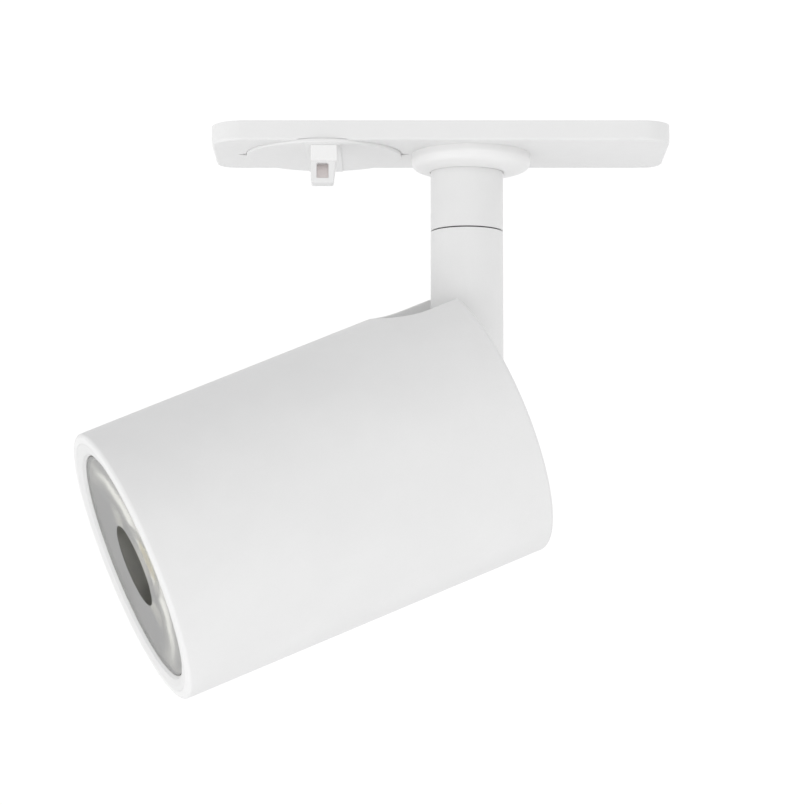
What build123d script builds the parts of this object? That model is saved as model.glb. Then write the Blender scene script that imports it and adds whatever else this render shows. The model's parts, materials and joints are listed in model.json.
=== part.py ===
from build123d import *
import math
import os

os.makedirs("parts", exist_ok=True)

# ---------------------------------------------------------------------------
# Track spotlight: a slim track adapter, a two-part swivel stem and a
# cylindrical lamp head that tilts on an axle inside its slotted rear end.
# Millimetres, +Z up.  Origin: where the stem axis meets the adapter's upper
# face, the face that bears on the track.  -Y is the side with the lever tab.
# ---------------------------------------------------------------------------

# adapter cover (the visible plate)
XL, XR = -59.5, 46.9          # plate ends along the track
HALF_W = 17.55                # half width across the track
PLATE_T = 4.65                # height of the cover's side walls
WALL = 1.3                    # cover wall
FLOOR_TOP = -3.45             # inner face of the cover's floor
R_NEAR_L, R_NEAR_R, R_FAR = 8.0, 6.5, 5.0   # plan corner radii

# lock dial
DIAL_X = -33.6                # dial axis
DIAL_R = 18.2
DIAL_BOT, DIAL_TOP = -5.3, -4.4
POCKET_R = 18.42
RIB_W, RIB_BOT = 8.1, -5.6
TAB_W = 6.05                  # lever tab
TAB_BOT = -14.5
TAB_HOLE = (2.7, 3.45)        # width and height of its square socket
SHAFT_R = 6.0
RUN = 0.05                    # radial running clearance

# collar, stem
COLLAR_X, COLLAR_R = 1.0, 14.05
COLLAR_BOT = -9.15
STEM_R = 8.5
SEAM_Z = -23.0                # swivel gap between the two stem halves
SEAM_GAP = 0.3
TUBE_END = -56.6              # lower stem tube to knuckle joint
PIVOT_Z = -70.82              # tilt axle height

# lamp head, in its own frame: s along the beam, w sideways, n across the top
PAN = math.radians(13.1)      # rest heading of the head
TILT = math.radians(23.0)     # rest angle below horizontal
HEAD_R, HEAD_RI = 32.6, 30.4
S_REAR, S_LENS, S_RIM = -7.05, 84.1, 85.2
SP, NP = 0.4, -0.94           # axle station in the head frame
WC = 4.4                      # stem plane, to one side of the head's axis
SLOT_R = 10.55                # half width of the stem slot
LENS_R, WELL_R = 26.9, 9.75
AXLE_R = 3.0

cp, sp_, ct, st = math.cos(PAN), math.sin(PAN), math.cos(TILT), math.sin(TILT)
A = Vector(-ct * cp, -ct * sp_, -st)          # beam direction
E = Vector(sp_, -cp, 0)                       # tilt axle direction
N = Vector(-st * cp, -st * sp_, ct)           # across the head's top
PIVOT = Vector(0, 0, PIVOT_Z)
HEAD_O = PIVOT - A * SP - E * WC - N * NP
HEADF = Location(Plane(origin=HEAD_O, x_dir=A, z_dir=N))
PANF = Location(Plane(origin=(0, 0, 0), x_dir=(-cp, -sp_, 0), z_dir=(0, 0, 1)))


def cz(r, z0, z1, x=0.0, y=0.0):
    return Pos(x, y, (z0 + z1) / 2) * Cylinder(r, z1 - z0)


def cx(r, x0, x1, y=0.0, z=0.0):
    return Pos((x0 + x1) / 2, y, z) * (Rot(0, 90, 0) * Cylinder(r, x1 - x0))


def cy(r, y0, y1, x=0.0, z=0.0):
    return Pos(x, (y0 + y1) / 2, z) * (Rot(90, 0, 0) * Cylinder(r, y1 - y0))


def bx(x0, x1, y0, y1, z0, z1):
    return Pos((x0 + x1) / 2, (y0 + y1) / 2, (z0 + z1) / 2) * Box(x1 - x0, y1 - y0, z1 - z0)


def hexz(af, z0, z1, x=0.0, y=0.0):
    return Pos(x, y, z0) * extrude(RegularPolygon(af / 2, 6, major_radius=False), z1 - z0)


def plate(x0, x1, hw, z0, z1, rnl, rnr, rf):
    """Flat plate with vertical corners rounded one by one."""
    b = bx(x0, x1, -hw, hw, z0, z1)
    for px, py, r in ((x0, -hw, rnl), (x1, -hw, rnr), (x0, hw, rf), (x1, hw, rf)):
        e = [q for q in b.edges().filter_by(Axis.Z)
             if abs(q.center().X - px) < 0.01 and abs(q.center().Y - py) < 0.01]
        b = fillet(e, r)
    return b


def out(name, shape, loc=None):
    if loc is not None:
        shape = loc * shape
    export_step(shape, f"parts/{name}.step")


# --- adapter cover: open-topped tray with a pocket for the lock dial --------
cover = plate(XL, XR, HALF_W, -PLATE_T, 0, R_NEAR_L, R_NEAR_R, R_FAR)
cover = fillet(cover.faces().sort_by(Axis.Z)[0].edges(), 0.7)
cavity = plate(XL + WALL, XR - WALL, HALF_W - WALL, FLOOR_TOP, 1,
               R_NEAR_L - WALL, R_NEAR_R - WALL, R_FAR - WALL)
dial_floor = cz(POCKET_R + 1.2, -PLATE_T + 0.001, -2.4, DIAL_X)
cavity = cavity - dial_floor
cover = cover - cavity
cover = cover - cz(POCKET_R, -PLATE_T - 1, -4.3, DIAL_X)
cover = cover - cz(SHAFT_R + RUN, -6, 1, DIAL_X)
cover = cover - cz(5.3, -6, 1, 0)
for sx in (-1, 1):            # index notches each side of the dial
    tri = Pos(DIAL_X + sx * (POCKET_R - 0.25), 0, -PLATE_T - 0.5) * extrude(
        Polygon((0, 1.15), (0, -1.15), (sx * 2.0, 0), align=None), 1.4)
    cover = cover - tri
posts = []
SCREW_XY = [(-54.0, 12.2), (-54.0, -11.2), (40.8, 12.4), (40.8, -12.4)]
for px, py in SCREW_XY:
    posts.append(cz(2.2, FLOOR_TOP - 0.01, -1.05, px, py))
for p in posts:
    cover = cover + p
for px, py in SCREW_XY:
    cover = cover - cz(0.95, -3.6, -0.5, px, py)
out("adapter_cover", cover)

# --- chassis: closes the tray, carries the track tongue ----------------------
chassis = plate(XL + WALL + 0.05, XR - WALL - 0.05, HALF_W - WALL - 0.05, -1.0, 0,
                R_NEAR_L - WALL, R_NEAR_R - WALL, R_FAR - WALL)
tongue = bx(-19.5, 42.5, -5.4, 5.4, 0, 1.9) + bx(-57.0, -46.5, -5.4, 5.4, 0, 1.9)
chassis = chassis + tongue
chassis = chassis - cz(SHAFT_R + RUN, -2, 1, DIAL_X)
chassis = chassis - bx(-17.5, 5.5, -4.3, 4.3, -2, 1.2)      # wiring trough
chassis = chassis - bx(14.8, 33.2, -2.2, 2.2, 1.1, 3)       # seat of the earth spring
for px, py in SCREW_XY:
    chassis = chassis - cz(1.25, -2, 1, px, py)
    chassis = chassis - cz(2.1, -0.55, 1, px, py)
out("adapter_chassis", chassis)

screws = Part()
for px, py in SCREW_XY:
    s = cz(0.9, -3.4, -0.5, px, py) + (cz(2.0, -0.5, -0.02, px, py) - bx(px - 1.5, px + 1.5, py - 0.25, py + 0.25, -0.25, 1))
    screws = screws + s
out("chassis_screws", screws)

# --- lock dial with its lever tab, shaft and cams ---------------------------
dial = cz(DIAL_R, DIAL_BOT, DIAL_TOP, DIAL_X)
dial = fillet(dial.edges().filter_by(GeomType.CIRCLE).sort_by(Axis.Z)[0], 0.45)
rib = bx(DIAL_X + 0.15 - RIB_W / 2, DIAL_X + 0.15 + RIB_W / 2, -20, 20, RIB_BOT, DIAL_BOT) & cz(17.5, RIB_BOT - 1, DIAL_BOT, DIAL_X)
dial = dial + rib             # grip rib across the dial, in line with the tab
dial = dial - cz(2.0, DIAL_BOT - 1, DIAL_TOP + 1, DIAL_X)
dial = dial - cz(2.9, DIAL_BOT - 1, DIAL_BOT + 0.45, DIAL_X)
out("lock_dial", dial)

tab_y0, tab_y1 = -17.0, -12.2
tab = bx(DIAL_X + 0.35 - TAB_W / 2, DIAL_X + 0.35 + TAB_W / 2, tab_y0, tab_y1, -9.35, RIB_BOT)
blade = Pos(0, tab_y1, 0) * (Rot(90, 0, 0) * extrude(Polygon(
    (DIAL_X + 0.35 - TAB_W / 2, -9.35), (DIAL_X + 0.35 - TAB_W / 2, TAB_BOT),
    (DIAL_X - 0.5 + TAB_W / 2, TAB_BOT), (DIAL_X + 0.15 + TAB_W / 2, -9.35), align=None), tab_y1 - tab_y0 - 0.3))
blade = fillet(blade.edges().filter_by(Axis.Y).group_by(Axis.Z)[0], 0.5)
tab = tab + blade
hx = DIAL_X + 0.05
tab = tab - bx(hx - TAB_HOLE[0] / 2, hx + TAB_HOLE[0] / 2, tab_y0 - 1, tab_y0 + 3.4,
               -9.8 - TAB_HOLE[1], -9.8)
out("lever_tab", tab)
wedge = extrude(Plane.YZ * Polygon(
    (tab_y0 + 2.6, -9.8), (tab_y0 + 0.9, -9.8 - TAB_HOLE[1]), (tab_y0 + 3.4, -9.8 - TAB_HOLE[1]), (tab_y0 + 3.4, -9.8),
    align=None), TAB_HOLE[0])
out("tab_insert", Pos(hx - TAB_HOLE[0] / 2, 0, 0) * wedge)

rotor = cz(SHAFT_R, DIAL_TOP, 1.1, DIAL_X) + cz(8.2, -2.3, -1.1, DIAL_X)
lugs = (Pos(DIAL_X, 0, 1.6) * Box(18.4, 8.0, 1.0)) & cz(9.0, 1.1, 2.1, DIAL_X)
rotor = rotor + lugs
rotor = rotor - cz(1.2, DIAL_TOP - 1, -0.5, DIAL_X)
for sx in (-1, 1):
    rotor = rotor - cz(0.95, -2.6, 3, DIAL_X + sx * 4.0)
for k in range(4):            # detent notches round the flange
    an = math.radians(90 * k)
    rotor = rotor - cz(0.9, -3, 0, DIAL_X + 8.5 * math.cos(an), 8.5 * math.sin(an))
out("cam_rotor", rotor)
for nm, sx in (("live_contact", 1), ("neutral_contact", -1)):
    c = bx(*sorted((DIAL_X + sx * 2.6, DIAL_X + sx * 10.4)), -1.5, 1.5, 2.1, 2.5)
    c = fillet(c.edges().filter_by(Axis.Z), 0.7)
    c = c + cz(0.9, -2.5, 2.1, DIAL_X + sx * 4.0)
    out(nm, c)
out("dial_screw", cz(1.15, DIAL_BOT + 0.45, -0.7, DIAL_X) +
    (cz(2.75, DIAL_BOT + 0.05, DIAL_BOT + 0.45, DIAL_X) - bx(DIAL_X - 2.1, DIAL_X + 2.1, -0.4, 0.4, DIAL_BOT - 1, DIAL_BOT + 0.25)))

# --- detent leaf, wipers, terminal block -------------------------------------
leaf = bx(-24.55, -24.15, -7.0, 7.0, -2.25, -1.15)
leaf = leaf + bx(-24.55, -21.9, 5.6, 7.0, -2.25, -1.15) + bx(-24.55, -21.9, -7.0, -5.6, -2.25, -1.15)
out("detent_spring", leaf)
out("detent_block", bx(-21.9, -20.2, -7.0, 7.0, -3.4 + 1.0, -1.02))
for nm, sy in (("live_wiper", 1), ("neutral_wiper", -1)):
    w = bx(-33.6, -13.8, *sorted((sy * 9.2, sy * 9.6)), -2.2, -1.2)
    w = w + bx(-14.2, -13.8, *sorted((sy * 3.9, sy * 9.6)), -2.2, -1.2)
    w = w + bx(-34.4, -33.6, *sorted((sy * 8.6, sy * 9.6)), -2.2, -1.2)
    out(nm, w)
term = bx(-13.8, -8.6, -4.0, 4.0, -3.4, 1.0)
for yy in (-2.6, 0, 2.6):
    term = term - cz(0.75, 0.2, 2, -11.3, yy)
out("terminal_block", term)
tscr = Part()
for yy in (-2.6, 0, 2.6):
    tscr = tscr + (cz(0.7, 0.22, 0.95, -11.3, yy) - bx(-12.3, -10.3, yy - 0.12, yy + 0.12, 0.7, 2))
out("terminal_screws", tscr)
earth = bx(15.0, 33.0, -2.0, 2.0, 1.1, 1.4)
earth = earth + bx(22.0, 26.0, -2.0, 2.0, 1.4, 2.2)
earth = earth - bx(22.5, 25.5, -2.2, 2.2, 1.4, 1.8)
out("earth_contact", earth)

# --- collar and stem ----------------------------------------------------------
cb = COLLAR_BOT
with BuildPart() as collar_b:
    with BuildSketch(Plane.XZ) as sk:
        with BuildLine() as ln:
            Polyline((5.3, -PLATE_T), (13.15, -PLATE_T), (13.45, -PLATE_T - 0.7))
            Spline((13.45, -PLATE_T - 0.7), (COLLAR_R, -6.7), (13.35, cb + 1.15), (11.4, cb + 0.36), (8.75, cb),
                   tangents=((0.35, -1.0), (-1.0, -0.08)))
            Polyline((8.75, cb), (8.75, cb + 0.95), (5.3, cb + 0.95), (5.3, -PLATE_T))
        make_face()
    revolve(axis=Axis.Z)
collar = collar_b.part
# the dome is 1 mm off the stem axis; its bore stays on the axis
solid_dome = Pos(COLLAR_X, 0, 0) * (collar + cz(8.8, cb, -PLATE_T))
collar = solid_dome - cz(5.3, -12, 0) - cz(STEM_R + 0.12, -12, cb + 0.95)
out("collar", collar)

upper = cz(STEM_R, SEAM_Z, cb + 0.9) + cz(5.2, cb + 0.9, -1.5)
upper = upper - cz(3.6, -40, 0) - cz(5.05, SEAM_Z - 1, -15.0)
g0, g1 = 5.6, 7.35            # stop groove in the end face
GROOVE = 171.7
blk = 360 - 2 * GROOVE
groove = cz(g1, SEAM_Z - 1, SEAM_Z + 1.3) - cz(g0, SEAM_Z - 1, SEAM_Z + 1.3)
ang_blk = 180.0               # the stop block stands opposite the rest position
block = PANF * (Rot(0, 0, ang_blk) * (bx(g0 - 0.2, g1 + 0.2, -0.95, 0.95, SEAM_Z - 1, SEAM_Z + 1.4)))
groove = groove - block
upper = upper - groove
upper = upper - groove
out("upper_stem", upper)
nut = hexz(14.0, FLOOR_TOP, -1.55) - cz(5.25, -6, 0)
out("stem_nut", nut)

nip = cz(5.0, -26.6, -15.1) + cz(6.6, -29.4, -28.0) + cz(4.95, -28.0, -26.6)
nip = nip - cz(3.3, -40, 0)
out("swivel_nipple", nip)
wave = (cz(6.5, -27.95, -27.2) - cz(5.1, -30, -20))
out("wave_washer", wave)
out("thrust_washer", cz(6.6, -27.15, -26.4) - cz(5.1, -30, -20))
out("swivel_ring", cz(8.1, SEAM_Z - SEAM_GAP + 0.02, SEAM_Z - 0.02) - cz(7.5, -30, -20))

low_top = SEAM_Z - SEAM_GAP
lower = cz(STEM_R, TUBE_END, low_top)
lower = lower - cz(6.9, TUBE_END - 1, low_top - 3.0)
lower = lower - cz(5.05, -30, -20)
lower = lower - cz(0.72, low_top - 1.4, low_top + 1, *[(PANF * Pos(6.5, 0, 0)).position.X, (PANF * Pos(6.5, 0, 0)).position.Y])
out("lower_stem", lower)
pinp = (PANF * Pos(6.5, 0, 0)).position
out("pan_stop_pin", cz(0.7, low_top - 1.35, SEAM_Z + 0.9, pinp.X, pinp.Y))

# knuckle: plug in the tube, shoulder, flat tongue with the axle hole
knk = cz(6.85, TUBE_END, TUBE_END + 10.0) + cz(STEM_R, PIVOT_Z + 12.5, TUBE_END)
tng = bx(-STEM_R, STEM_R, -4.0, 4.0, PIVOT_Z, PIVOT_Z + 12.6) + cy(STEM_R, -4.0, 4.0, 0, PIVOT_Z)
knk = knk + (tng & cz(STEM_R, PIVOT_Z - 20, PIVOT_Z + 20))
knk = knk - cy(AXLE_R + RUN, -6, 6, 0, PIVOT_Z)
knk = knk - cz(3.3, PIVOT_Z + 13.6, TUBE_END + 20)
knk = knk - bx(-2.4, 2.4, -10.0, 0.0, PIVOT_Z + 13.0, PIVOT_Z + 15.6)     # wire exit
knk = knk - cx(1.25, -9, -4.5, 0, TUBE_END + 5)
out("knuckle", knk, PANF)
out("knuckle_pin", cx(1.2, -6.8, -4.6, 0, TUBE_END + 5), PANF)

# supply wires: terminal block, over the chassis window, down the stem bore
wires = Part()
for yy in (-1.75, 0.0, 1.75):
    dx = -1.2 if yy == 0 else 0.6
    ln = FilletPolyline((-8.6, yy, 0.45), (dx, yy, 0.45), (dx, yy, -55.2), radius=1.4)
    prof = Plane(origin=(-8.6, yy, 0.45), z_dir=(1, 0, 0)) * Circle(0.55)
    wires = wires + sweep(prof, path=ln)
out("supply_wires", wires)

# --- lamp head (built in the head frame, then placed) ------------------------
slot_top = bx(S_REAR - 3, SP, WC - SLOT_R, WC + SLOT_R, 2, 45) + cz(SLOT_R, 2, 45, SP, WC)
body = cx(HEAD_R, S_REAR, S_RIM)
body = fillet(body.edges().filter_by(GeomType.CIRCLE).sort_by(Axis.X)[0], 0.8)
body = fillet(body.edges().filter_by(GeomType.CIRCLE).sort_by(Axis.X)[-1], 1.0)
body = body - cx(HEAD_RI, S_REAR - 1, S_RIM + 1)
BOSS_R = 28.2
BOSS = [(BOSS_R * math.cos(math.radians(q)), BOSS_R * math.sin(math.radians(q))) for q in (30, 150, 270)]
body = body - slot_top
out("head_housing", body, HEADF)
bosses = Part()
for w, n in BOSS:
    bosses = bosses + ((cx(2.9, 21.2, 47.8, w, n) & cx(HEAD_RI, 20, 50)) - cx(1.3, 20, 31.5, w, n) - cx(1.3, 37.5, 50, w, n))
out("housing_bosses", bosses, HEADF)

cap = cx(30.35, S_REAR + 0.8, S_REAR + 2.4) + (cx(30.35, S_REAR + 2.4, 2.0) - cx(29.1, S_REAR + 2.4, 3))
cap = cap - slot_top
cap = cap - (bx(S_REAR - 3, 4, WC - SLOT_R, WC + SLOT_R, NP, 45) + cx(SLOT_R, S_REAR - 3, 4, WC, NP))
for k in range(4):            # vent slits low in the cap
    cap = cap - bx(S_REAR - 2, S_REAR + 3, WC - 12 + 2 * k, WC + 4 - 2 * k, -17.3 - 3.1 * k, -16.0 - 3.1 * k)
out("rear_cap", cap, HEADF)

# tilt bracket: two ears on a base plate
ears = Part()
for s0 in (4.5, -6.5):
    w0, w1 = WC + s0, WC + s0 + 2.0
    ears = ears + bx(SP, 17.5, w0, w1, NP - 8, NP + 8) + cy(8.0, w0, w1, SP, NP)
brk = ears + bx(17.0, 19.0, WC - 14.0, WC + 14.0, NP - 11, NP + 10)
brk = brk - cy(AXLE_R + RUN, WC - 12, WC + 12, SP, NP)
BRK_SC = [(WC + 10.8, NP + 7.0), (WC - 10.8, NP + 7.0), (WC + 10.8, NP - 8.0), (WC - 10.8, NP - 8.0)]
for w, n in BRK_SC:
    brk = brk - cx(1.6, 15, 20, w, n)
out("tilt_bracket", brk, HEADF)
disc = cx(30.1, 19.0, 21.2)
for w, n in BRK_SC:
    disc = disc - cx(1.3, 18, 23, w, n)
for w, n in BOSS:
    disc = disc - cx(1.7, 18, 23, w, n)
disc = disc - cx(4.0, 18, 23, -16.5, 0)
out("bracket_plate", disc, HEADF)
bs = Part()
for w, n in BRK_SC:
    bs = bs + cx(1.2, 17.0, 21.1, w, n) + cx(2.7, 15.2, 17.0, w, n)
out("bracket_screws", bs, HEADF)
ps = Part()
for w, n in BOSS:
    ps = ps + cx(1.2, 19.0, 29.0, w, n) + (cx(2.6, 17.2, 19.0, w, n) & cx(30.2, 10, 30))
out("plate_screws", ps, HEADF)

axle = cy(AXLE_R, WC - 10.2, WC + 6.5, SP, NP) + cy(5.0, WC + 6.5, WC + 9.3, SP, NP)
axle = axle - (Pos(SP, WC + 9.3, NP) * (Rot(90, 0, 0) * extrude(RegularPolygon(2.0, 6), 1.6)))
out("tilt_axle", axle, HEADF)
anut = (Pos(SP, WC - 6.55, NP) * (Rot(90, 0, 0) * extrude(RegularPolygon(5.0, 6, major_radius=False), 3.0)))
anut = anut - cy(AXLE_R + 0.02, WC - 12, WC, SP, NP)
out("axle_nut", anut, HEADF)
fw = (cy(6.5, WC + 4.03, WC + 4.47, SP, NP) + cy(6.5, WC - 4.47, WC - 4.03, SP, NP)) - cy(AXLE_R + RUN, WC - 8, WC + 8, SP, NP)
out("friction_washers", fw, HEADF)

# mains terminal on the wide side of the head, wires through to the driver
mt = bx(9.0, 19.0, -23.0, -10.5, -7.5, 7.5)
for n in (-4.6, 0, 4.6):
    mt = mt - cy(1.5, -24, -21.2, 14.0, n)
    mt = mt - cx(1.1, 8, 12.0, -16.5, n)
out("mains_terminal", mt, HEADF)
ts = Part()
for n in (-4.6, 0, 4.6):
    ts = ts + (cy(1.4, -22.8, -21.25, 14.0, n) - bx(12.8, 15.2, -24, -22.4, n - 0.2, n + 0.2))
out("mains_terminal_screws", ts, HEADF)

pcb = cx(24.8, 27.0, 28.6)
for w, n in BOSS:
    pcb = pcb - cx(3.6, 26, 30, w, n)
pcb = pcb - cx(1.3, 26, 30, 21.0, -8.0) - cx(1.3, 26, 30, -17.0, 14.5) - cx(1.3, 26, 30, -8.0, -21.0)
out("driver_board", pcb, HEADF)
STDOFF = [(21.0, -8.0), (-17.0, 14.5), (-8.0, -21.0)]
so = Part()
for w, n in STDOFF:
    so = so + cx(2.4, 21.2, 27.0, w, n) + cx(1.2, 27.0, 29.4, w, n)
out("driver_standoffs", so, HEADF)
out("driver_transformer", bx(28.6, 38.4, -2.0, 14.0, -6.0, 7.0) - bx(37.4, 39, 1, 11, -2.2, 3.2), HEADF)
cap1 = fillet((cx(4.0, 28.6, 38.6, 5.0, -13.5)).edges().filter_by(GeomType.CIRCLE), 0.6)
cap2 = fillet((cx(3.2, 28.6, 36.6, -4.0, -12.0)).edges().filter_by(GeomType.CIRCLE), 0.5)
out("driver_capacitors", cap1 + cap2, HEADF)
out("driver_choke", cx(4.2, 28.6, 35.6, 3.0, 15.5) - cx(1.6, 33.0, 36, 3.0, 15.5), HEADF)
out("driver_chips", bx(28.6, 30.2, -12.0, -6.5, 4.0, 12.0) + bx(28.6, 30.4, -9.0, -5.0, -6.0, -1.0), HEADF)
fd = Part()
for n in (-4.6, 4.6):
    fd = fd + cx(0.7, 19.0, 27.0, -16.5, n * 0.6)
out("driver_feed_wires", fd, HEADF)

# heat sink: base disc, rear fins, pedestal under the light source
hs = cx(29.7, 47.8, 53.6) + cx(14.0, 53.6, 64.4)
for k in range(-4, 5):
    wf = 5.2 * k
    half = math.sqrt(24.0 ** 2 - wf ** 2)
    hs = hs + bx(40.2, 47.9, wf - 0.65, wf + 0.65, -half, half)
hs = hs - bx(39, 47.8, -19.5, -12.9, -6, 6)
hs = hs - cx(2.4, 40, 55, -16.2, 0)
for w, n in BOSS:
    hs = hs - cx(1.7, 40, 55, w, n) - cx(3.3, 39, 47.7, w, n)
for w, n in ((12.0, 0), (-12.0, 0)):
    hs = hs - cx(1.05, 58, 65, w, n)
out("heat_sink", hs, HEADF)
hss = Part()
for w, n in BOSS:
    hss = hss + cx(1.2, 40.0, 53.6, w, n) + (cx(2.5, 53.6, 55.3, w, n) & cx(29.0, 50, 60))
out("heat_sink_screws", hss, HEADF)
lb = bx(64.4, 65.6, -18.0, 18.0, -11.0, 11.0)
for w in (12.0, -12.0):
    lb = lb - cx(1.2, 60, 70, w, 0)
out("led_board", lb, HEADF)
out("led_emitter", cx(5.6, 65.6, 66.0), HEADF)
holder = cx(13.9, 65.6, 66.5) - cx(8.6, 60, 70)
for w in (12.0, -12.0):
    holder = holder - cx(1.2, 60, 70, w, 0)
out("led_holder", holder, HEADF)
lsc = Part()
for w in (12.0, -12.0):
    lsc = lsc + cx(1.0, 59.0, 66.5, w, 0) + cx(1.6, 66.5, 67.1, w, 0)
out("led_screws", lsc, HEADF)
ll = Part()
for n in (-1.1, 1.1):
    ll = ll + cx(0.7, 28.6, 64.4, -16.2, n)
out("led_leads", ll, HEADF)

# optics: collimating lens with a front well, its cup, seal and bezel
with BuildPart() as lens_b:
    with BuildSketch(Plane.XY) as sk:
        with BuildLine() as ln:
            Polyline((70.8, 0), (66.7, 5.2), (66.7, 8.3))
            Spline((66.7, 8.3), (71.0, 15.2), (76.0, 21.2), (81.2, 25.9))
            Polyline((81.2, 25.9), (81.2, 28.0), (82.2, 28.0), (82.2, LENS_R), (S_LENS, LENS_R),
                     (S_LENS, WELL_R), (75.6, 8.6), (74.4, 0), (70.8, 0))
        make_face()
    revolve(axis=Axis.X)
out("lens", lens_b.part, HEADF)
lh = cx(29.55, 53.6, 80.2) - cx(28.3, 53, 79.2) - cx(26.3, 50, 90)
for w, n in BOSS:
    lh = lh - cx(3.2, 53, 56.2, w, n)
out("lens_cup", lh, HEADF)
out("lens_seal", cx(28.0, 80.2, 81.2) - cx(26.4, 70, 90), HEADF)
with BuildPart() as bez_b:
    with BuildSketch(Plane.XY) as sk:
        with BuildLine() as ln:
            Polyline((78.0, 29.65), (80.2, 29.65), (80.2, 28.15), (82.2, 28.15), (82.2, 27.12),
                     (84.1, 27.12), (84.75, 27.75), (S_RIM, 29.2), (S_RIM, 30.37), (78.0, 30.37), (78.0, 29.65))
        make_face()
    revolve(axis=Axis.X)
out("front_bezel", bez_b.part, HEADF)
print("head origin", HEAD_O, "A", A, "E", E, "N", N)
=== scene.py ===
import bpy
import bmesh
import json
import math
from mathutils import Vector, Matrix

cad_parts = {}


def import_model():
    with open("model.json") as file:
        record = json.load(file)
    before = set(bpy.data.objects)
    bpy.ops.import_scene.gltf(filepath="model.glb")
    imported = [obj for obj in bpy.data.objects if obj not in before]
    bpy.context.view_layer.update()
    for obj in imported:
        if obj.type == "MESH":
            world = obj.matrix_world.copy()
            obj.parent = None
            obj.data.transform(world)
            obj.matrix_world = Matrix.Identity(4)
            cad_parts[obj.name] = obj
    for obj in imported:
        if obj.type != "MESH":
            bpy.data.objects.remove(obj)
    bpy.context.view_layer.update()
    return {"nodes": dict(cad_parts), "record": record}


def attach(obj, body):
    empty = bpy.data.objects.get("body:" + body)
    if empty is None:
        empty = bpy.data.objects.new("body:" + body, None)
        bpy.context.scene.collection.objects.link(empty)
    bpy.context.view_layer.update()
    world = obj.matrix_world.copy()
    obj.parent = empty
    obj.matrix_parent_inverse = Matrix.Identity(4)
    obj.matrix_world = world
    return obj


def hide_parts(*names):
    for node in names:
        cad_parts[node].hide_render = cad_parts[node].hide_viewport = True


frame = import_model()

record = frame["record"]
MM = 0.001

# ---------------------------------------------------------------------------
# dimensions, in millimetres, as in the CAD
# ---------------------------------------------------------------------------
XL, XR, HALF_W, PLATE_T, WALL, FLOOR_TOP = -59.5, 46.9, 17.55, 4.65, 1.3, -3.45
R_NL, R_NR, R_F = 8.0, 6.5, 5.0
DIAL_X, DIAL_R, POCKET_R = -33.6, 18.2, 18.42
DIAL_BOT, DIAL_TOP = -5.3, -4.4
STEM_R, SEAM_Z, SEAM_GAP, TUBE_END, PIVOT_Z = 8.5, -23.0, 0.3, -56.6, -70.82
HEAD_R, HEAD_RI, S_REAR, S_RIM = 32.6, 30.4, -7.05, 85.2
SP, NP, WC, SLOT_R = 0.4, -0.94, 4.4, 10.55
pan, tilt = math.radians(13.1), math.radians(23.0)
A = Vector((-math.cos(tilt) * math.cos(pan), -math.cos(tilt) * math.sin(pan), -math.sin(tilt)))
E = Vector((math.sin(pan), -math.cos(pan), 0.0))
N = Vector((-math.sin(tilt) * math.cos(pan), -math.sin(tilt) * math.sin(pan), math.cos(tilt)))
HEAD_O = Vector((0, 0, PIVOT_Z)) - A * SP - E * WC - N * NP


def world(p):
    return Vector(p) * MM


def headp(s, w, n):
    return (HEAD_O + A * s + E * w + N * n) * MM


# ---------------------------------------------------------------------------
# materials
# ---------------------------------------------------------------------------
def tree(name):
    m = bpy.data.materials.new(name)
    m.use_nodes = True
    nt = m.node_tree
    nt.nodes.clear()
    out = nt.nodes.new("ShaderNodeOutputMaterial")
    bsdf = nt.nodes.new("ShaderNodeBsdfPrincipled")
    nt.links.new(bsdf.outputs[0], out.inputs[0])
    co = nt.nodes.new("ShaderNodeTexCoord")
    return m, nt, bsdf, co


def noise(nt, co, scale, detail=4.0, rough=0.55, stretch=None):
    n = nt.nodes.new("ShaderNodeTexNoise")
    n.inputs["Scale"].default_value = scale
    n.inputs["Detail"].default_value = detail
    n.inputs["Roughness"].default_value = rough
    if stretch:
        mp = nt.nodes.new("ShaderNodeMapping")
        mp.inputs["Scale"].default_value = stretch
        nt.links.new(co.outputs["Object"], mp.inputs["Vector"])
        nt.links.new(mp.outputs[0], n.inputs["Vector"])
    else:
        nt.links.new(co.outputs["Object"], n.inputs["Vector"])
    return n


def ramp(nt, src, lo, hi, a=0.35, b=0.65):
    r = nt.nodes.new("ShaderNodeValToRGB")
    r.color_ramp.elements[0].position = a
    r.color_ramp.elements[1].position = b
    r.color_ramp.elements[0].color = (*lo, 1) if hasattr(lo, "__len__") else (lo, lo, lo, 1)
    r.color_ramp.elements[1].color = (*hi, 1) if hasattr(hi, "__len__") else (hi, hi, hi, 1)
    nt.links.new(src, r.inputs[0])
    return r


def shade(c, k):
    return tuple(max(0.0, min(1.0, v * k)) for v in c)


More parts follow.
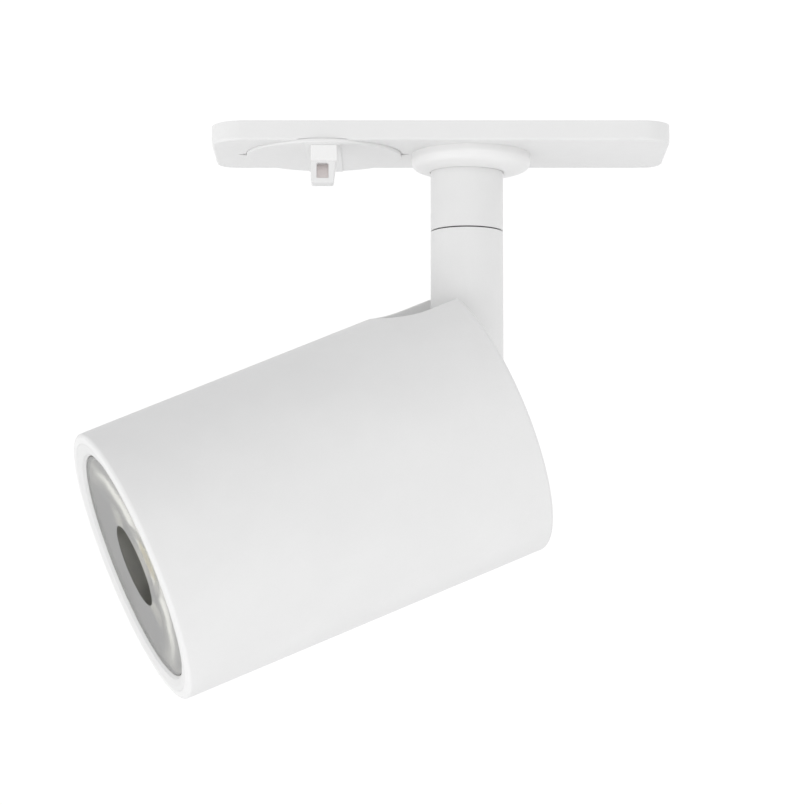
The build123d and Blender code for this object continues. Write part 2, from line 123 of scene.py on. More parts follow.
def coat(name, color, rough=(0.42, 0.55), vary=0.02, fine=2600.0, fine_mm=0.012, broad=55.0,
         orange=0.0, spec=0.5, metallic=0.0, sheen=0.0, stretch=None, speck=None, clear=0.0):
    """Painted, moulded or metal surface: broad colour drift, roughness drift, fine texture."""
    m, nt, b, co = tree(name)
    big = noise(nt, co, broad, 5.0, 0.6)
    mid = noise(nt, co, broad * 9.0, 4.0, 0.6, stretch)
    small = noise(nt, co, fine, 3.0, 0.6, stretch)
    col = ramp(nt, big.outputs[0], shade(color, 1 - vary), shade(color, 1 + vary))
    last = col.outputs[0]
    mix = nt.nodes.new("ShaderNodeMix")
    mix.data_type = "RGBA"
    mix.blend_type = "MULTIPLY"
    mix.inputs[0].default_value = 1.0
    fcol = ramp(nt, small.outputs[0], 1 - vary * 1.2, 1.0, 0.3, 0.7)
    nt.links.new(last, mix.inputs[6])
    nt.links.new(fcol.outputs[0], mix.inputs[7])
    last = mix.outputs[2]
    if speck:
        vo = nt.nodes.new("ShaderNodeTexVoronoi")
        vo.inputs["Scale"].default_value = speck[0]
        nt.links.new(co.outputs["Object"], vo.inputs["Vector"])
        sr = ramp(nt, vo.outputs["Distance"], 0.0, 1.0, speck[1], speck[1] + 0.05)
        m2 = nt.nodes.new("ShaderNodeMix")
        m2.data_type = "RGBA"
        nt.links.new(sr.outputs[0], m2.inputs[0])
        m2.inputs[6].default_value = (*speck[2], 1)
        nt.links.new(last, m2.inputs[7])
        last = m2.outputs[2]
    nt.links.new(last, b.inputs["Base Color"])
    rr = ramp(nt, mid.outputs[0], rough[0], rough[1], 0.3, 0.7)
    nt.links.new(rr.outputs[0], b.inputs["Roughness"])
    b.inputs["Metallic"].default_value = metallic
    b.inputs["Specular IOR Level"].default_value = spec
    if sheen:
        b.inputs["Sheen Weight"].default_value = sheen
    if clear:
        b.inputs["Coat Weight"].default_value = clear
        b.inputs["Coat Roughness"].default_value = 0.25
    bump = nt.nodes.new("ShaderNodeBump")
    bump.inputs["Strength"].default_value = 0.6
    bump.inputs["Distance"].default_value = fine_mm * MM
    nt.links.new(small.outputs[0], bump.inputs["Height"])
    if orange:
        b2 = nt.nodes.new("ShaderNodeBump")
        b2.inputs["Strength"].default_value = 0.5
        b2.inputs["Distance"].default_value = orange * MM
        nt.links.new(mid.outputs[0], b2.inputs["Height"])
        nt.links.new(b2.outputs[0], bump.inputs["Normal"])
    nt.links.new(bump.outputs[0], b.inputs["Normal"])
    return m


def board(name, mask, trace):
    """Circuit board: solder mask over copper tracks, with silkscreen-free pads."""
    m, nt, b, co = tree(name)
    vo = nt.nodes.new("ShaderNodeTexVoronoi")
    vo.feature = "DISTANCE_TO_EDGE"
    vo.inputs["Scale"].default_value = 260.0
    vo.inputs["Randomness"].default_value = 0.55
    nt.links.new(co.outputs["Object"], vo.inputs["Vector"])
    r = ramp(nt, vo.outputs["Distance"], trace, mask, 0.035, 0.06)
    n = noise(nt, co, 900.0, 3.0)
    mx = nt.nodes.new("ShaderNodeMix")
    mx.data_type = "RGBA"
    mx.blend_type = "MULTIPLY"
    mx.inputs[0].default_value = 1.0
    f = ramp(nt, n.outputs[0], 0.9, 1.0)
    nt.links.new(r.outputs[0], mx.inputs[6])
    nt.links.new(f.outputs[0], mx.inputs[7])
    nt.links.new(mx.outputs[2], b.inputs["Base Color"])
    b.inputs["Roughness"].default_value = 0.38
    bump = nt.nodes.new("ShaderNodeBump")
    bump.inputs["Distance"].default_value = 0.00003
    bump.invert = True
    nt.links.new(vo.outputs["Distance"], bump.inputs["Height"])
    nt.links.new(bump.outputs[0], b.inputs["Normal"])
    return m


def optic(name, color, rough, trans):
    """Clear moulded lens: slight flow haze and a few moulding ripples."""
    m, nt, b, co = tree(name)
    n = noise(nt, co, 90.0, 4.0)
    c = ramp(nt, n.outputs[0], shade(color, 0.94), color)
    nt.links.new(c.outputs[0], b.inputs["Base Color"])
    r = ramp(nt, n.outputs[0], rough[0], rough[1])
    nt.links.new(r.outputs[0], b.inputs["Roughness"])
    b.inputs["IOR"].default_value = 1.49
    b.inputs["Transmission Weight"].default_value = trans
    bump = nt.nodes.new("ShaderNodeBump")
    bump.inputs["Strength"].default_value = 0.10
    bump.inputs["Distance"].default_value = 0.00002
    nt.links.new(n.outputs[0], bump.inputs["Height"])
    nt.links.new(bump.outputs[0], b.inputs["Normal"])
    return m


WHITE = (0.800, 0.800, 0.797)
MAT = {
    "white_coat": coat("powder_coat_white", WHITE, (0.40, 0.52), 0.012, 3000.0, 0.016, 60.0, 0.010, spec=0.45),
    "white_plastic": coat("moulded_white", (0.815, 0.815, 0.812), (0.34, 0.44), 0.010, 5200.0, 0.006, 40.0, 0.006, spec=0.5),
    "grey_plastic": coat("moulded_grey", (0.42, 0.42, 0.41), (0.42, 0.55), 0.03, 4200.0, 0.010),
    "dark_plastic": coat("moulded_black", (0.030, 0.030, 0.031), (0.45, 0.60), 0.08, 4200.0, 0.012, 80.0, 0.006),
    # painted shade: the taupe insert colour stands in for the white back of the lever socket seen in shade
    "brown_insert": coat("insert_taupe_painted_shade", (0.76, 0.70, 0.69), (0.40, 0.55), 0.08, 4200.0, 0.010),
    "steel": coat("zinc_steel", (0.58, 0.58, 0.60), (0.24, 0.40), 0.05, 3800.0, 0.008, 120.0, 0.0, metallic=1.0, stretch=(1, 1, 0.12)),
    "brass": coat("brass_strip", (0.74, 0.56, 0.27), (0.20, 0.36), 0.05, 3600.0, 0.006, 120.0, 0.0, metallic=1.0, stretch=(0.12, 1, 1)),
    "aluminium": coat("blasted_aluminium", (0.74, 0.75, 0.76), (0.36, 0.50), 0.03, 3200.0, 0.018, 90.0, 0.0, metallic=1.0),
    "lens_clear": optic("optic_clear", (0.925, 0.918, 0.835), (0.165, 0.205), 1.0),
    "emitter": coat("phosphor", (0.84, 0.72, 0.34), (0.45, 0.60), 0.05, 2600.0, 0.02),
    "pcb": board("board_green", (0.020, 0.105, 0.045), (0.045, 0.20, 0.085)),
    "pcb_white": board("board_white", (0.80, 0.80, 0.78), (0.70, 0.70, 0.67)),
    "wire": coat("wire_grey", (0.15, 0.12, 0.11), (0.40, 0.52), 0.06, 2600.0, 0.008),
    "wire_red": coat("wire_red", (0.38, 0.030, 0.022), (0.36, 0.50), 0.06, 2600.0, 0.008),
    "seal": coat("silicone_black", (0.020, 0.020, 0.020), (0.50, 0.65), 0.08, 3000.0, 0.010),
    "component_black": coat("package_black", (0.028, 0.028, 0.030), (0.35, 0.55), 0.08, 3600.0, 0.015),
    "component_yellow": coat("tape_yellow", (0.70, 0.48, 0.06), (0.38, 0.52), 0.05, 2600.0, 0.010),
}
SLOT = {s["node"]: s["material_slot"] for s in record["subparts"]}
for nname, o in frame["nodes"].items():
    o.data.materials.clear()
    o.data.materials.append(MAT[SLOT[nname]])
    for p in o.data.polygons:
        p.material_index = 0


# ---------------------------------------------------------------------------
# mesh helpers
# ---------------------------------------------------------------------------
def fillet2(pts, radii, seg=6):
    """Round the corners of a closed 2-D outline; radii[i] is for pts[i]."""
    out = []
    n = len(pts)
    for i, p in enumerate(pts):
        r = radii[i] if i < len(radii) else 0.0
        p = Vector(p)
        if r <= 0:
            out.append((p.x, p.y))
            continue
        a, c = Vector(pts[i - 1]), Vector(pts[(i + 1) % n])
        u, v = (a - p).normalized(), (c - p).normalized()
        ang = math.acos(max(-1, min(1, u.dot(v))))
        t = r / math.tan(ang / 2)
        m = (u + v).normalized()
        cen = p + m * (r / math.sin(ang / 2))
        s, e = p + u * t, p + v * t
        a0 = math.atan2(s.y - cen.y, s.x - cen.x)
        a1 = math.atan2(e.y - cen.y, e.x - cen.x)
        d = (a1 - a0 + math.pi) % (2 * math.pi) - math.pi
        for k in range(seg + 1):
            q = a0 + d * k / seg
            out.append((cen.x + r * math.cos(q), cen.y + r * math.sin(q)))
    return out


def lathe(name, prof, place, nseg=224):
    """Turn a closed outline of (along, radius) points; place(along, u, v) -> point in metres."""
    bm = bmesh.new()
    rings = []
    for a, r in prof:
        if r < 1e-6:
            v = bm.verts.new(place(a, 0, 0))
            rings.append([v] * nseg)
        else:
            rings.append([bm.verts.new(place(a, r * math.cos(2 * math.pi * k / nseg), r * math.sin(2 * math.pi * k / nseg))) for k in range(nseg)])
    m = len(rings)
    for i in range(m):
        r0, r1 = rings[i], rings[(i + 1) % m]
        for k in range(nseg):
            k2 = (k + 1) % nseg
            vs = []
            for v in (r0[k], r0[k2], r1[k2], r1[k]):
                if v not in vs:
                    vs.append(v)
            if len(vs) > 2:
                bm.faces.new(vs)
    bmesh.ops.recalc_face_normals(bm, faces=bm.faces)
    me = bpy.data.meshes.new(name)
    bm.to_mesh(me)
    bm.free()
    o = bpy.data.objects.new(name, me)
    bpy.context.scene.collection.objects.link(o)
    return o


def loft(name, rings):
    """Closed solid through equal-length closed rings of points in metres, capped at both ends."""
    bm = bmesh.new()
    vr = [[bm.verts.new(p) for p in r] for r in rings]
    n = len(rings[0])
    for a, b in zip(vr, vr[1:]):
        for k in range(n):
            bm.faces.new((a[k], a[(k + 1) % n], b[(k + 1) % n], b[k]))
    bm.faces.new(vr[0][::-1])
    bm.faces.new(vr[-1])
    bmesh.ops.recalc_face_normals(bm, faces=bm.faces)
    me = bpy.data.meshes.new(name)
    bm.to_mesh(me)
    bm.free()
    o = bpy.data.objects.new(name, me)
    bpy.context.scene.collection.objects.link(o)
    return o


def solid(name, outline, place, a0, a1, soft=0.0, seg=3):
    """Extrude a closed 2-D outline between a0 and a1; place(u, v, a) -> metres; soft rounds all edges."""
    o = loft(name, [[place(u, v, a0) for u, v in outline], [place(u, v, a1) for u, v in outline]])
    if soft:
        bm = bmesh.new()
        bm.from_mesh(o.data)
        es = [e for e in bm.edges if len(e.link_faces) == 2 and e.calc_face_angle(0) > math.radians(28)]
        bmesh.ops.bevel(bm, geom=es, offset=soft * MM, segments=seg, profile=0.5, affect="EDGES", clamp_overlap=True)
        bm.to_mesh(o.data)
        bm.free()
    return o


def boolean(a, b, op="DIFFERENCE"):
    mod = a.modifiers.new("cut", "BOOLEAN")
    mod.object = b
    mod.operation = op
    mod.solver = "EXACT"
    bpy.context.view_layer.update()
    dg = bpy.context.evaluated_depsgraph_get()
    me = bpy.data.meshes.new_from_object(a.evaluated_get(dg))
    a.modifiers.clear()
    old = a.data
    a.data = me
    bpy.data.meshes.remove(old)
    bpy.data.objects.remove(b)
    return a


def join(a, b):
    bm = bmesh.new()
    bm.from_mesh(a.data)
    bm.from_mesh(b.data)
    bm.to_mesh(a.data)
    bm.free()
    bpy.data.objects.remove(b)
    return a


def finish_piece(o, body, slot, nodes=(), angle=32.0):
    bm = bmesh.new()
    bm.from_mesh(o.data)
    bmesh.ops.remove_doubles(bm, verts=bm.verts, dist=1e-7)
    bmesh.ops.dissolve_degenerate(bm, edges=bm.edges, dist=1e-7)
    bmesh.ops.recalc_face_normals(bm, faces=bm.faces)
    bm.to_mesh(o.data)
    bm.free()
    for p in o.data.polygons:
        p.use_smooth = True
    o.data.set_sharp_from_angle(angle=math.radians(angle))
    wn = o.modifiers.new("wn", "WEIGHTED_NORMAL")
    wn.keep_sharp = True
    wn.weight = 80
    bpy.context.view_layer.update()
    dg = bpy.context.evaluated_depsgraph_get()
    me = bpy.data.meshes.new_from_object(o.evaluated_get(dg))
    o.modifiers.clear()
    old = o.data
    o.data = me
    bpy.data.meshes.remove(old)
    o.data.materials.clear()
    o.data.materials.append(MAT[slot])
    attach(o, body)
    if nodes:
        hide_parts(*nodes)
    return o


def zplace(x=0.0, y=0.0):
    return lambda a, u, v: world((x + u, y + v, a))


def splace(w=0.0, n=0.0):
    return lambda a, u, v: headp(a, w + u, n + v)


def cyl(name, r, a0, a1, place, nseg=96):
    return lathe(name, [(a0, 0), (a0, r), (a1, r), (a1, 0)], place, nseg)


# ---------------------------------------------------------------------------
# adapter cover
# ---------------------------------------------------------------------------
def plate_ring(off, z, seg=14):
    x0, x1, h = XL + off, XR - off, HALF_W - off
    pts = []
    for cx_, cy_, r, q0 in ((x1, h, R_F, 0), (x0, h, R_F, 90), (x0, -h, R_NL, 180), (x1, -h, R_NR, 270)):
        r = max(0.6, r - off)
        ox = cx_ - r if q0 in (0, 270) else cx_ + r
        oy = cy_ - r if q0 in (0, 90) else cy_ + r
        for k in range(seg + 1):
            q = math.radians(q0 + 90 * k / seg)
            pts.append(world((ox + r * math.cos(q), oy + r * math.sin(q), z)))
    return pts


rings = [plate_ring(0.12, 0.0), plate_ring(0.03, -0.04), plate_ring(0.0, -0.14)]
rings += [plate_ring(0.7 - 0.7 * math.cos(math.radians(q)), -PLATE_T + 0.7 - 0.7 * math.sin(math.radians(q))) for q in (0, 15, 30, 45, 60, 75, 90)]
cover = loft("cover_shell", rings)
cavity = loft("cavity", [plate_ring(WALL, FLOOR_TOP), plate_ring(WALL, 1.0)])
keep = cyl("keep", POCKET_R + 1.2, -6.0, -2.4, zplace(DIAL_X), 192)
cavity = boolean(cavity, keep)
cover = boolean(cover, cavity)
PR = DIAL_R + 0.08
pocket = [(-8.0, 0), (-8.0, PR + 0.40), (-PLATE_T - 0.25, PR + 0.27)]
pocket += [(-PLATE_T + 0.12 - 0.12 * math.cos(math.radians(q)), PR + 0.12 - 0.12 * math.sin(math.radians(q))) for q in (12, 30, 50, 70, 90)]
pocket += [(-4.3, PR), (-4.3, 0)]
cover = boolean(cover, lathe("pocket", pocket, zplace(DIAL_X), 288))
cover = boolean(cover, cyl("bore1", 6.05, -6, 1, zplace(DIAL_X)))
cover = boolean(cover, cyl("bore2", 5.3, -6, 1, zplace(0)))
for sx in (-1, 1):
    bx0 = DIAL_X + sx * (POCKET_R - 0.25)
    tri = [(bx0, 1.15), (bx0, -1.15), (bx0 + sx * 2.0, 0)]
    cover = boolean(cover, solid("tri", tri, lambda u, v, a: world((u, v, a)), -PLATE_T - 0.5, -PLATE_T + 0.9))
for px, py in ((-54.0, 12.2), (-54.0, -11.2), (40.8, 12.4), (40.8, -12.4)):
    post = lathe("post", [(FLOOR_TOP - 0.1, 0.95), (FLOOR_TOP - 0.1, 2.2), (-1.05, 2.1), (-1.05, 0.95)], zplace(px, py), 40)
    cover = join(cover, post)
finish_piece(cover, "adapter", "white_plastic", ["adapter_cover"], 34)

# lock dial: disc with a grip rib across it, in line with the tab, and a screw recess
RIB_W, RIB_BOT = 8.1, -5.6
prof = fillet2([(DIAL_TOP, 2.0), (DIAL_TOP, DIAL_R), (DIAL_BOT, DIAL_R), (DIAL_BOT, 2.0)], [0, 0.08, 0.45, 0.05], 6)
dial = lathe("lock_dial_disc", prof, zplace(DIAL_X), 288)
xr = [0.15 - RIB_W / 2 + RIB_W * k / 12 for k in range(13)]
rib = [(DIAL_X + x, -math.sqrt(17.5 ** 2 - x * x)) for x in xr] + [(DIAL_X + x, math.sqrt(17.5 ** 2 - x * x)) for x in xr[::-1]]


def inset(pts, d):
    cx_, cy_ = DIAL_X + 0.15, 0.0
    return [(cx_ + (x - cx_) * (1 - d / (RIB_W / 2)), cy_ + (y - cy_) * (1 - d / 17.0)) for x, y in pts]


rs = [(0.0, DIAL_BOT + 0.2), (0.0, RIB_BOT + 0.14), (0.04, RIB_BOT + 0.04), (0.14, RIB_BOT)]
rib = loft("rib", [[world((x, y, z)) for x, y in inset(rib, d)] for d, z in rs])
dial = boolean(dial, rib, "UNION")
well = [(-8.0, 0), (-8.0, 3.3), (RIB_BOT - 0.1, 3.15), (RIB_BOT + 0.02, 2.98), (RIB_BOT + 0.12, 2.9), (DIAL_BOT + 0.45, 2.9), (DIAL_BOT + 0.45, 0)]
dial = boolean(dial, lathe("recess", well, zplace(DIAL_X), 96))
finish_piece(dial, "dial", "white_plastic", ["lock_dial"])

# lever tab: upper block and slimmer blade with a square socket
TW = 6.05
bu = solid("lever_block", [(DIAL_X + 0.35 - TW / 2, -17.0), (DIAL_X + 0.35 + TW / 2, -17.0), (DIAL_X + 0.35 + TW / 2, -12.2), (DIAL_X + 0.35 - TW / 2, -12.2)],
           lambda u, v, a: world((u, v, a)), -9.35, RIB_BOT + 0.05, 0.18, 3)
bl = solid("lever_blade", fillet2([(DIAL_X + 0.35 - TW / 2, -9.2), (DIAL_X + 0.15 + TW / 2, -9.2), (DIAL_X - 0.5 + TW / 2, -14.5), (DIAL_X + 0.35 - TW / 2, -14.5)],
                                  [0, 0, 0.55, 0.55], 4),
           lambda u, v, a: world((u, a, v)), -16.7, -12.25, 0.0)
bm = bmesh.new()
bm.from_mesh(bl.data)
es = [e for e in bm.edges if e.calc_face_angle(0) > math.radians(60)]
bmesh.ops.bevel(bm, geom=es, offset=0.2 * MM, segments=3, profile=0.5, affect="EDGES")
bm.to_mesh(bl.data)
bm.free()
hx = DIAL_X + 0.05
sock = fillet2([(hx - 1.35, -9.8), (hx + 1.35, -9.8), (hx + 1.35, -13.25), (hx - 1.35, -13.25)], [0.2] * 4, 3)
sock_l = [[world((hx + (u - hx) * k, y, -11.525 + (v + 11.525) * k)) for u, v in sock] for y, k in ((-18.0, 1.30), (-16.75, 1.11), (-16.62, 1.04), (-16.45, 1.0), (-13.6, 1.0))]
bl = boolean(bl, loft("socket", sock_l))
finish_piece(bu, "dial", "white_plastic")
finish_piece(bl, "dial", "white_plastic", ["lever_tab"])

# collar: domed ring, 1 mm off the stem axis, bored on the axis
cb = -9.15


def spline(pts, n):
    out = []
    P = [Vector(p) for p in pts]
    P = [P[0] * 2 - P[1]] + P + [P[-1] * 2 - P[-2]]
    for i in range(1, len(P) - 2):
        for k in range(n):
            t = k / n
            p0, p1, p2, p3 = P[i - 1:i + 3]
            q = 0.5 * ((2 * p1) + (p2 - p0) * t + (2 * p0 - 5 * p1 + 4 * p2 - p3) * t * t + (3 * p1 - p0 - 3 * p2 + p3) * t ** 3)
            out.append((q.x, q.y))
    out.append(tuple(pts[-1]))
    return out


prof = [(-PLATE_T, 0), (-PLATE_T, 13.8)]
dome = spline([(13.88, -PLATE_T - 0.5), (14.05, -6.5), (13.35, cb + 1.15), (11.4, cb + 0.36), (8.75, cb)], 8)
prof += [(z, r) for r, z in dome]
prof += [(cb, 0)]
collar = lathe("collar_dome", prof, zplace(1.0), 256)
collar = boolean(collar, cyl("b", 5.3, -12, 0, zplace(0)))
bore = [(-12, 0), (-12, STEM_R + 0.62), (cb - 0.3, STEM_R + 0.62), (cb - 0.02, STEM_R + 0.32), (cb + 0.06, STEM_R + 0.18), (cb + 0.2, STEM_R + 0.12), (cb + 0.95, STEM_R + 0.12), (cb + 0.95, 0)]
collar = boolean(collar, lathe("b2", bore, zplace(0), 224))
finish_piece(collar, "adapter", "white_plastic", ["collar"])
# painted light: a brighter copy of the moulded white, so the collar and the lever's upper block look more lit than the
# same plastic elsewhere
painted_light_white = coat("moulded_white_painted_light", (0.880, 0.878, 0.874), (0.32, 0.42), 0.010, 5200.0, 0.006, 40.0, 0.006, spec=0.5)
collar.data.materials[0] = painted_light_white
bu.data.materials[0] = painted_light_white

# stem halves
prof = fillet2([(-1.5, 3.6), (-1.5, 5.2), (cb + 0.9, 5.2), (cb + 0.9, STEM_R), (SEAM_Z, STEM_R), (SEAM_Z, 7.35), (SEAM_Z + 1.3, 7.35),
                (SEAM_Z + 1.3, 5.6), (SEAM_Z, 5.6), (SEAM_Z, 5.05), (-15.0, 5.05), (-15.0, 3.6)],
               [0.1, 0.4, 0.1, 0.2, 0.10, 0.06, 0.06, 0.06, 0.06, 0.06, 0.1, 0.1], 4)
up = lathe("stem_upper_tube", prof, zplace(), 224)
finish_piece(up, "adapter", "white_coat", ["upper_stem"])
lt = SEAM_Z - SEAM_GAP
prof = fillet2([(lt, 5.05), (lt, STEM_R), (TUBE_END, STEM_R), (TUBE_END, 6.9), (lt - 3.0, 6.9), (lt - 3.0, 5.05)],
               [0.06, 0.10, 0.2, 0.15, 0.2, 0.1], 4)
lo = lathe("stem_lower_tube", prof, zplace(), 224)
finish_piece(lo, "stem", "white_coat", ["lower_stem"])


# ---------------------------------------------------------------------------
# lamp head
# ---------------------------------------------------------------------------
def slot_ring(d, height, seg=40):
    r = SLOT_R + d
    pts = [(-14.0, -r), (-7.0, -r)]
    pts += [(SP + r * math.sin(math.pi * k / seg), -r * math.cos(math.pi * k / seg)) for k in range(seg + 1)]
    pts += [(-7.0, r), (-14.0, r)]
    out = []
    for s, w in pts:
        w += WC
        out.append(headp(s, w, height(w)))
    return out


def slot_cutter(R, rho):
    surf = lambda e: (lambda w: math.sqrt(R * R - w * w) + e)
    rs = [slot_ring(0.0, lambda w: 2.0), slot_ring(0.0, surf(-rho))]
    for q in (15, 30, 45, 60, 74):
        q = math.radians(q)
        rs.append(slot_ring(rho * (1 - math.cos(q)), surf(-rho + rho * math.sin(q))))
    q = math.radians(74)
    rs.append(slot_ring(rho * (1 - math.cos(q)) + 0.9 * math.sin(q), surf(-rho + rho * math.sin(q) + 0.9 * math.cos(q))))
    rs.append(slot_ring(rho * (1 - math.cos(q)) + 0.9 * math.sin(q), lambda w: 46.0))
    return loft("slot_cutter", rs)


prof = fillet2([(S_REAR, HEAD_RI), (S_REAR, HEAD_R), (S_RIM, HEAD_R), (S_RIM, HEAD_RI)], [0.12, 0.8, 1.0, 0.03], 9)
# extra rings along the barrel keep the long faces well shaped for the cut
i_end = max(i for i, p in enumerate(prof) if p[0] < 0 and abs(p[1] - HEAD_R) < 1e-3)
prof = prof[:i_end + 1] + [(s, HEAD_R) for s in (14.0, 30.0, 50.0, 70.0)] + prof[i_end + 1:]
house = lathe("head_barrel", prof, splace(), 288)
house = boolean(house, slot_cutter(HEAD_R, 0.45))
bosses = []
for q in (30, 150, 270):
    w, n = 28.2 * math.cos(math.radians(q)), 28.2 * math.sin(math.radians(q))
    b = fillet2([(21.2, 1.3), (21.2, 2.9), (47.8, 2.9), (47.8, 1.3)], [0.2, 0.3, 0.3, 0.2], 3)
    bosses.append(lathe("boss", b, splace(w, n), 48))
finish_piece(house, "head", "white_coat", ["head_housing"])
boss = bosses[0]
for other in bosses[1:]:
    boss = join(boss, other)
boss = boolean(boss, cyl("within", HEAD_RI, 10.0, 60.0, splace(), 288), "INTERSECT")
boss.name = "screw_bosses"
finish_piece(boss, "head", "white_coat", ["housing_bosses"] if "housing_bosses" in frame["nodes"] else [])

# rear cap: dished cover with a channel for the stem and three louvre slits
c0, c1 = S_REAR + 0.8, S_REAR + 2.4
prof = fillet2([(c0, 0), (c0, 30.35), (2.0, 30.35), (2.0, 29.1), (c1, 29.1), (c1, 0)], [0, 0.5, 0.15, 0.15, 0.3, 0], 5)
cap = lathe("rear_cap_dish", prof, splace(), 224)
ch = [(WC - SLOT_R, 45.0), (WC - SLOT_R, NP)]
ch += [(WC - SLOT_R * math.cos(math.pi * k / 36), NP - SLOT_R * math.sin(math.pi * k / 36)) for k in range(1, 36)]
ch += [(WC + SLOT_R, NP), (WC + SLOT_R, 45.0)]
chl = []
for s, d in ((c0 - 2.1, 0.9), (c0 - 0.1, 0.42), (c0 + 0.05, 0.27), (c0 + 0.2, 0.12), (c0 + 0.45, 0.02), (c0 + 0.6, 0.0), (5.0, 0.0)):
    k = (SLOT_R + d) / SLOT_R
    chl.append([headp(s, WC + (u - WC) * k, v if v > 40 else NP + (v - NP) * k) for u, v in ch])
cap = boolean(cap, loft("channel", chl))
for k in range(4):
    w0, w1, n0 = WC - 12 + 2 * k, WC + 4 - 2 * k, -16.65 - 3.1 * k
    r = 0.65
    st = [(w1 - r + r * math.cos(math.radians(q)), n0 + r * math.sin(math.radians(q))) for q in range(-90, 91, 15)]
    st += [(w0 + r + r * math.cos(math.radians(q)), n0 + r * math.sin(math.radians(q))) for q in range(90, 271, 15)]
    cap = boolean(cap, solid("slit", st, lambda u, v, a: headp(a, u, v), -8.0, -2.0))
finish_piece(cap, "head", "white_coat", ["rear_cap"])

# front bezel, lens
prof = fillet2([(78.0, 29.65), (80.2, 29.65), (80.2, 28.15), (82.2, 28.15), (82.2, 27.12), (84.1, 27.12), (84.75, 27.75), (85.2, 29.2), (85.2, 30.37), (78.0, 30.37)],
               [0.1, 0.1, 0.15, 0.1, 0.1, 0.12, 0.3, 0.3, 0.03, 0.1], 4)
bez = lathe("bezel_ring", prof, splace(), 256)
finish_piece(bez, "head", "white_coat", ["front_bezel"])
# painted shade: a darker copy of the head's white powder coat, standing in for shade on the recessed front ring
bez.data.materials[0] = coat("bezel_coat_painted_shade", (0.745, 0.745, 0.742), (0.46, 0.58), 0.012, 3000.0, 0.016, 60.0, 0.010, spec=0.40)


prof = [(70.8, 0), (69.2, 2.6), (66.9, 5.2), (66.7, 5.5), (66.7, 8.0)]
prof += spline([(66.7, 8.3), (71.0, 15.2), (76.0, 21.2), (81.2, 25.9)], 7)
prof += [(81.2, 28.0), (82.2, 28.0), (82.2, 26.9), (83.95, 26.9), (84.06, 26.85), (84.1, 26.75), (84.1, 9.95), (84.06, 9.82), (83.9, 9.74), (79.0, 9.05), (75.6, 8.6), (74.9, 5.5), (74.5, 2.6), (74.4, 0)]
lens = lathe("lens_optic", prof, splace(), 224)
finish_piece(lens, "head", "lens_clear", ["lens"])

# ---------------------------------------------------------------------------
# stage, light, camera
# ---------------------------------------------------------------------------
def pale(name, c):
    m, nt, b, co = tree(name)
    n = noise(nt, co, 6.0, 3.0)
    r = ramp(nt, n.outputs[0], c * 0.985, c)
    nt.links.new(r.outputs[0], b.inputs["Base Color"])
    b.inputs["Roughness"].default_value = 0.85
    b.inputs["Specular IOR Level"].default_value = 0.2
    return m


me = bpy.data.meshes.new("floor")
h = 4.0
zf = -1.10
me.from_pydata([(-h, -h, zf), (h, -h, zf), (h, h, zf), (-h, h, zf)], [], [(0, 1, 2, 3)])
floor = bpy.data.objects.new("floor", me)
bpy.context.scene.collection.objects.link(floor)
me.materials.append(pale("floor_pale", 0.86))

w = bpy.data.worlds.new("studio")
bpy.context.scene.world = w
w.use_nodes = True
nt = w.node_tree
bg = nt.nodes["Background"]
tc = nt.nodes.new("ShaderNodeTexCoord")
sx_ = nt.nodes.new("ShaderNodeSeparateXYZ")
nt.links.new(tc.outputs["Generated"], sx_.inputs[0])
mr = nt.nodes.new("ShaderNodeMapRange")
mr.inputs["From Min"].default_value = -1.0
mr.inputs["From Max"].default_value = 1.0
nt.links.new(sx_.outputs[2], mr.inputs["Value"])
cr = nt.nodes.new("ShaderNodeValToRGB")
els = cr.color_ramp.elements
els[0].position, els[0].color = 0.0, (0.95, 0.95, 0.95, 1)
els[1].position, els[1].color = 1.0, (0.55, 0.55, 0.56, 1)
e = els.new(0.40)
e.color = (1.0, 1.0, 1.0, 1)
e = els.new(0.62)
e.color = (1.0, 1.0, 1.0, 1)
nt.links.new(mr.outputs[0], cr.inputs[0])
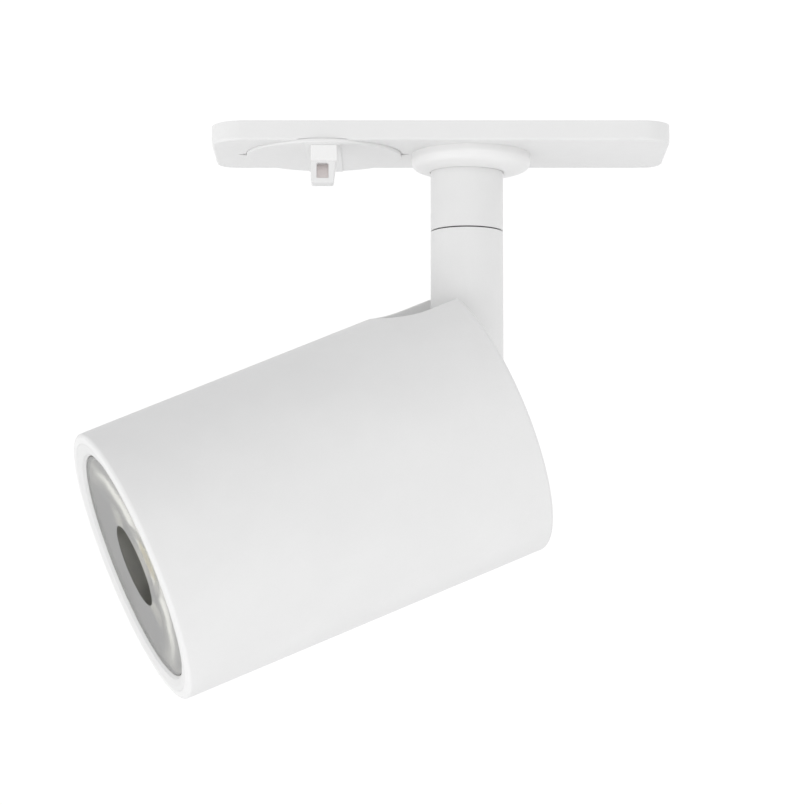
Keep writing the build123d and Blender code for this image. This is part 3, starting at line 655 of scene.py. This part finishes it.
# the room behind the camera is a little darker than the backdrop
my = nt.nodes.new("ShaderNodeMapRange")
my.inputs["From Min"].default_value = -1.0
my.inputs["From Max"].default_value = 0.25
my.inputs["To Min"].default_value = 0.93
my.inputs["To Max"].default_value = 1.0
nt.links.new(sx_.outputs[1], my.inputs["Value"])
mw = nt.nodes.new("ShaderNodeMix")
mw.data_type = "RGBA"
mw.blend_type = "MULTIPLY"
mw.inputs[0].default_value = 1.0
nt.links.new(cr.outputs[0], mw.inputs[6])
nt.links.new(my.outputs[0], mw.inputs[7])
nt.links.new(mw.outputs[2], bg.inputs["Color"])
bg.inputs["Strength"].default_value = 1.04


def area(name, loc, target, size, power):
    d = bpy.data.lights.new(name, "AREA")
    d.shape = "RECTANGLE"
    d.size, d.size_y = size
    d.energy = power
    o = bpy.data.objects.new(name, d)
    bpy.context.scene.collection.objects.link(o)
    o.location = loc
    o.rotation_euler = (Vector(target) - Vector(loc)).to_track_quat("-Z", "Y").to_euler()
    return o


key = area("key", (0.5, -1.4, 0.25), (-0.01, 0, -0.07), (0.9, 0.9), 1.45)
low = area("floor_glow", (-0.06, -0.12, -0.40), (-0.06, -0.12, -0.06), (1.4, 1.3), 2.05)
side = area("low_left", (-0.70, -0.30, -0.45), (-0.03, 0, -0.03), (0.7, 0.7), 1.45)
for l in (key, low, side):
    l.visible_camera = False

cam_d = bpy.data.cameras.new("camera")
cam = bpy.data.objects.new("camera", cam_d)
bpy.context.scene.collection.objects.link(cam)
cam_d.sensor_fit = "HORIZONTAL"
cam_d.sensor_width = 36.0
cam_d.lens = 3500.0 / 805.0 * 36.0
cam_d.clip_start = 0.05
cam_d.clip_end = 20.0
right, fwd = Vector((1, 0, 0)), Vector((0, 0.99282, 0.11962)).normalized()
upv = right.cross(fwd)
cam.matrix_world = Matrix(((right.x, upv.x, -fwd.x, -0.01511), (right.y, upv.y, -fwd.y, -0.8112), (right.z, upv.z, -fwd.z, -0.1612), (0, 0, 0, 1)))
sc = bpy.context.scene
sc.camera = cam
sc.view_settings.view_transform = "Standard"
sc.view_settings.look = "None"
